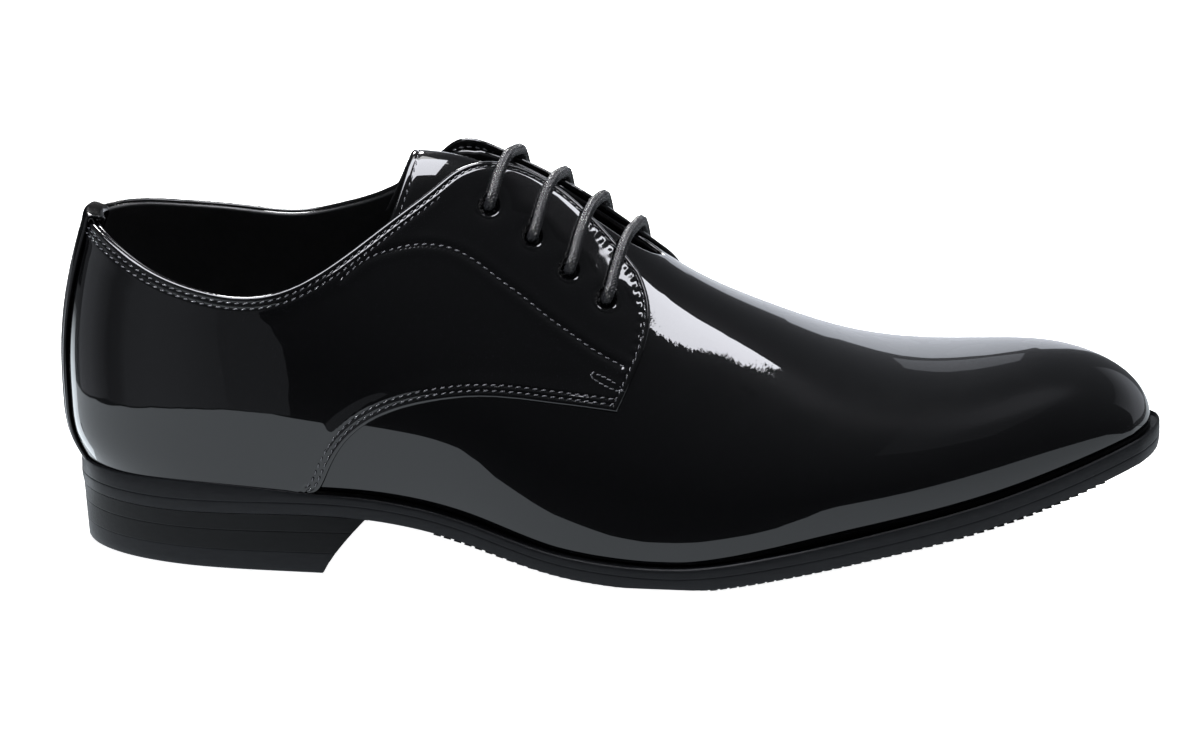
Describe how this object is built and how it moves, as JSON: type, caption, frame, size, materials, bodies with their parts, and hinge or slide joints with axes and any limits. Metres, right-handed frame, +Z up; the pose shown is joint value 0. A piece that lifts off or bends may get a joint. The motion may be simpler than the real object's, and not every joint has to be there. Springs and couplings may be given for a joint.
{
  "type": "derby shoe",
  "caption": "Black patent leather derby dress shoe for the right foot: hollow upper with open-laced quarters, tongue, backstay, thin welted sole with toe spring and a low stacked heel",
  "frame": {"origin": "centre of the shoe's bounding box in plan, on the floor that the heel and the ball stand on", "axes": "+X runs from heel to toe, +Y to the medial side (the lateral side is at -Y), +Z up"},
  "size_m": [0.3094, 0.0986, 0.1136],
  "materials": {
    "patent_leather": "black patent, mirror gloss",
    "lining_leather": "black leather, satin",
    "insole_leather": "black leather sock on board, matt",
    "sole_rubber": "black, satin edge",
    "heel_stack": "black, satin, with lift lines",
    "waxed_cord": "charcoal braided round cord, waxed"
  },
  "bodies": {
    "root": {"outsole": "sole_rubber", "welt": "sole_rubber", "heel_block": "heel_stack", "heel_top_piece": "sole_rubber", "insole": "insole_leather", "upper": "patent_leather", "quarter_lateral": "patent_leather", "quarter_medial": "patent_leather", "backstay": "patent_leather", "tongue": "lining_leather", "lace_bar_1": "waxed_cord", "lace_bar_2": "waxed_cord", "lace_bar_3": "waxed_cord", "lace_bar_4": "waxed_cord"}
  },
  "joints": []
}
